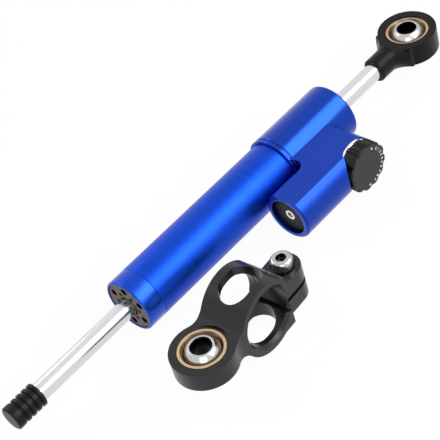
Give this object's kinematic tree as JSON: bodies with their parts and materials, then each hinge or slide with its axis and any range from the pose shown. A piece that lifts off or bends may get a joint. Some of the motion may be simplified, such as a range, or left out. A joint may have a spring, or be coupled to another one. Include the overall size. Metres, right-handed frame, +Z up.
{
  "type": "motorcycle steering damper",
  "caption": "Linear oil steering damper with an adjuster on its side housing, a rod that runs right through, a rod end, a rubber end stop and a loose body clamp.",
  "frame": {"origin": "on the tube's axis, in the middle of the plain stretch of tube where the clamp grips in use", "axes": "+X along the rod towards the rod end, side housing towards -Y, +Z up from the floor on which the set lies"},
  "size_m": [0.2602, 0.0727, 0.0316],
  "materials": {
    "blue_anodised": "anodised blue",
    "black_anodised": "anodised black",
    "silver_aluminium": "bright turned",
    "chromed_steel": "polished",
    "steel": "plated",
    "bronze": "turned",
    "brass": "turned",
    "piston_ring_plastic": "plain",
    "black_rubber": "moulded"
  },
  "bodies": {
    "damper_body": {"bleed_screw": "steel", "clamp_body": "black_anodised", "clamp_race": "bronze", "clamp_screw": "steel", "compensator_spring": "steel", "front_bush": "bronze", "front_collar": "blue_anodised", "front_gland": "black_anodised", "front_gland_o_ring": "black_rubber", "front_rod_seal": "black_rubber", "front_wiper": "black_rubber", "head_body": "blue_anodised", "main_tube": "blue_anodised", "needle_seat": "brass", "rear_bush": "bronze", "rear_circlip": "steel", "rear_gland": "black_anodised", "rear_gland_o_ring": "black_rubber", "rear_rod_seal": "black_rubber", "rear_wiper": "black_rubber", "side_plug": "black_anodised", "side_plug_o_ring": "black_rubber", "valve_bonnet": "silver_aluminium"},
    "guide_ring": {"piston_ring": "piston_ring_plastic"},
    "rod": {"piston_rod": "chromed_steel", "piston": "silver_aluminium", "piston_clips": "steel", "rod_end": "black_anodised", "rod_end_race": "bronze", "end_stop": "black_rubber"},
    "rod_end_ball": {"rod_end_ball": "chromed_steel"},
    "clamp_ball": {"clamp_ball": "chromed_steel"},
    "knob": {"adjuster_knob": "black_anodised", "adjuster_spindle": "steel"},
    "needle": {"metering_needle": "steel"},
    "compensator_piston": {"compensator_piston": "silver_aluminium", "compensator_o_ring": "black_rubber"}
  },
  "joints": [
    {"name": "rod_slide", "type": "slide", "parent": "damper_body", "child": "guide_ring", "axis": [1, 0, 0], "range_m": [-0.028, 0.05]},
    {"name": "rod_spin", "type": "hinge", "parent": "guide_ring", "child": "rod", "pos_m": [0.0149, 0, 0], "axis": [1, 0, 0], "continuous": true},
    {"name": "rod_ball_tilt", "type": "hinge", "parent": "rod", "child": "rod_end_ball", "pos_m": [0.1432, 0, 0], "axis": [0, 1, 0], "range_deg": [-13, 13]},
    {"name": "clamp_ball_tilt", "type": "hinge", "parent": "damper_body", "child": "clamp_ball", "pos_m": [-0.0435, -0.0465, 0.0036], "axis": [0, 1, 0], "range_deg": [-13, 13]},
    {"name": "knob_turn", "type": "hinge", "parent": "damper_body", "child": "knob", "pos_m": [0.0694, -0.0288, -0.00075], "axis": [0, 1, 0], "range_deg": [-135, 135]},
    {"name": "needle_feed", "type": "slide", "parent": "damper_body", "child": "needle", "axis": [0, 1, 0], "range_m": [-0.000376, 0.000376]},
    {"name": "compensator_float", "type": "slide", "parent": "damper_body", "child": "compensator_piston", "axis": [1, 0, 0], "range_m": [-0.004, 0.001], "stiffness_N_per_m": 800, "deforming": ["compensator_spring"]}
  ],
  "couplings": [
    {"joint": "needle_feed", "follows": "knob_turn", "m_per_rad": 0.00015915}
  ]
}
